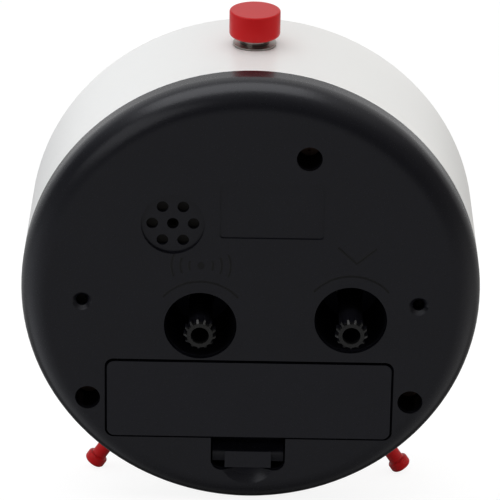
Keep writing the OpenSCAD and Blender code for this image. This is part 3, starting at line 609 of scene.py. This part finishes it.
floor_mesh = bpy.data.meshes.new("floor")
floor_corners = [(x, y, 0) for y in (-FLOOR_HALF, FLOOR_HALF) for x in (-FLOOR_HALF, FLOOR_HALF)]
floor_mesh.from_pydata(floor_corners, [], [(0, 1, 3, 2)])
floor_mesh.materials.append(floor_material())
floor = bpy.data.objects.new("floor", floor_mesh)
floor.visible_glossy = False
bpy.context.scene.collection.objects.link(floor)


# Room round the clock: brightness by height of the view, from -1 straight down to 1 straight up
ROOM_FRONT = ((-1, 0.02), (-0.87, 0.0), (-0.71, 0.02), (-0.5, 0.12), (-0.26, 0.42), (0, 0.4),
              (0.5, 0.76), (0.8, 1.0))
ROOM_SIDE = ((-1, 0.07), (-0.97, 0.1), (-0.87, 0.33), (-0.6, 0.62), (-0.26, 0.46), (0, 0.17),
             (0.4, 0.11), (0.8, 0.56))
ROOM_BACK = ((-1, 0.04), (-0.87, 0.05), (-0.71, 0.17), (-0.57, 0.29), (-0.4, 0.22), (-0.2, 0.08), (0, 0.05),
             (0.5, 0.16), (0.8, 0.35))
# Soft light for dull surfaces alone, from low down and stronger from the sides: by height, and along x
ROOM_SOFT = ((0, 1.0), (0.3, 1.0), (0.6, 0))
ROOM_SIDEWAYS = (-1.85, 1.8)
# Where the front of the room passes into its sides, and these into its back, along y
FRONT_TO_SIDE = (-0.5, -0.25)
SIDE_TO_BACK = (0.1, 0.8)
# Brightness from one side to the other below the horizon and all over above it, and each side's tint
ROOM_TILT = (0.75, 1.25)
ROOM_HIGH = 0.85
HORIZON = (-0.1, 0.2)
ROOM_TINTS = ((1.02, 1.0, 0.97, 1), (0.98, 1.0, 1.03, 1))
# White backdrop on the dial's side, which shiny surfaces mirror: along y, and above the floor
BACKDROP_FROM = (-0.7, -0.95)
BACKDROP_ABOVE = (-0.05, 0.1)
WHITE = (1, 1, 1, 1)

world = bpy.data.worlds.new("studio")
bpy.context.scene.world = world
room = Tree(world)
ways = room.add("SeparateXYZ", {"Vector": room.add("TexCoord")["Generated"]})


def room_share(way, start, end, low=0.0, high=1.0):
    """Maps one part of the viewing direction from start..end to low..high."""
    return room.span(ways[way], low, high, start, end)


def room_levels(levels):
    """Brightness of one side of the room, by height."""
    node = room.nodes.new("ShaderNodeValToRGB")
    stops = node.color_ramp.elements
    while len(stops) < len(levels):
        stops.new(0.5)
    for stop, (height, grey) in zip(stops, levels):
        stop.position = (height + 1) / 2
        stop.color = (grey, grey, grey, 1)
    room.feed(node, {"Fac": room_share("Z", -1, 1)})
    return node.outputs["Color"]


sides = room.mix(room_share("Y", *FRONT_TO_SIDE), room_levels(ROOM_FRONT), room_levels(ROOM_SIDE))
around = room.mix(room_share("Y", *SIDE_TO_BACK), sides, room_levels(ROOM_BACK))
tilt = room.mix(room_share("Z", *HORIZON), room_share("X", -1, 1, *ROOM_TILT), ROOM_HIGH)
tilted = room.calc("MULTIPLY", around, tilt)
path = room.add("LightPath")
sideways = room.calc("ABSOLUTE", room_share("X", -1, 1, *ROOM_SIDEWAYS))
soft = room.calc("MULTIPLY", room_levels(ROOM_SOFT), sideways)
lit = room.calc("MULTIPLY_ADD", soft, path["Is Diffuse Ray"], tilted)
backdrop = room.calc("MULTIPLY", room_share("Y", *BACKDROP_FROM), room_share("Z", *BACKDROP_ABOVE))
mirrored = room.calc("MULTIPLY_ADD", backdrop, path["Is Glossy Ray"], path["Is Transmission Ray"])
seen = room.calc("MAXIMUM", path["Is Camera Ray"], mirrored, clamp=True)
tinted = room.shade(room_share("X", -1, 1), *ROOM_TINTS)
room.feed(room.nodes["Background"], {"Color": room.shade(seen, tinted, WHITE),
                                     "Strength": room.mix(seen, lit, 1.0)})


# Lamps: place and size in metres, power in watts
LAMPS = {
    "key": {"where": (0.125, 0.15, 0.85), "wide": 0.95, "deep": 0.60, "power": 2.85},
    "fill": {"where": (0.50, 0.66, 0.33), "wide": 0.42, "deep": 0.60, "power": 0.5},
}
LAMPS_AIM = Vector((0, 0, 0.05))


def softbox(name, where, wide, deep, power):
    """A rectangular lamp turned to the clock, with its wide side along x where it hangs overhead."""
    lamp = bpy.data.lights.new(name, "AREA")
    lamp.shape = "RECTANGLE"
    lamp.size = wide
    lamp.size_y = deep
    lamp.energy = power
    back = (Vector(where) - LAMPS_AIM).normalized()
    side = Vector((0, 1, 0)).cross(back).normalized()
    holder = bpy.data.objects.new(name, lamp)
    turn = Matrix((side, back.cross(side), back)).transposed().to_4x4()
    holder.matrix_world = Matrix.Translation(where) @ turn
    bpy.context.scene.collection.objects.link(holder)


for lamp_name, lamp_facts in LAMPS.items():
    softbox(lamp_name, **lamp_facts)


# Camera fitted to the round outlines of the photo: place behind and above the clock, in a 500 pixel frame
FRAME_PX = 500
FOCAL_PX = 3473.6
SENSOR_MM = 36
NEAREST = 0.01
DISTANCE = 0.7607
RISE = math.radians(24.89) - LEAN
ROLL = math.radians(0.948)
SEAM_PX = (250.63, 283.40)
to_eye = Vector((0, math.cos(RISE), math.sin(RISE)))
flat_right = Vector((-1, 0, 0))
flat_up = Vector((0, -math.sin(RISE), math.cos(RISE)))
eye = seam + DISTANCE * to_eye
right = math.cos(ROLL) * flat_right + math.sin(ROLL) * flat_up
upright = -math.sin(ROLL) * flat_right + math.cos(ROLL) * flat_up
per_pixel = DISTANCE / FOCAL_PX
aim_point = seam + per_pixel * ((FRAME_PX / 2 - SEAM_PX[0]) * right + (SEAM_PX[1] - FRAME_PX / 2) * upright)
look_z = (eye - aim_point).normalized()
look_x = upright.cross(look_z).normalized()
look_y = look_z.cross(look_x)
camera_data = bpy.data.cameras.new("camera")
camera_data.sensor_width = SENSOR_MM
camera_data.lens = FOCAL_PX * SENSOR_MM / FRAME_PX
camera_data.clip_start = NEAREST
camera = bpy.data.objects.new("camera", camera_data)
camera.matrix_world = Matrix.Translation(eye) @ Matrix((look_x, look_y, look_z)).transposed().to_4x4()
bpy.context.scene.collection.objects.link(camera)
bpy.context.scene.camera = camera
bpy.context.scene.view_settings.view_transform = "Standard"
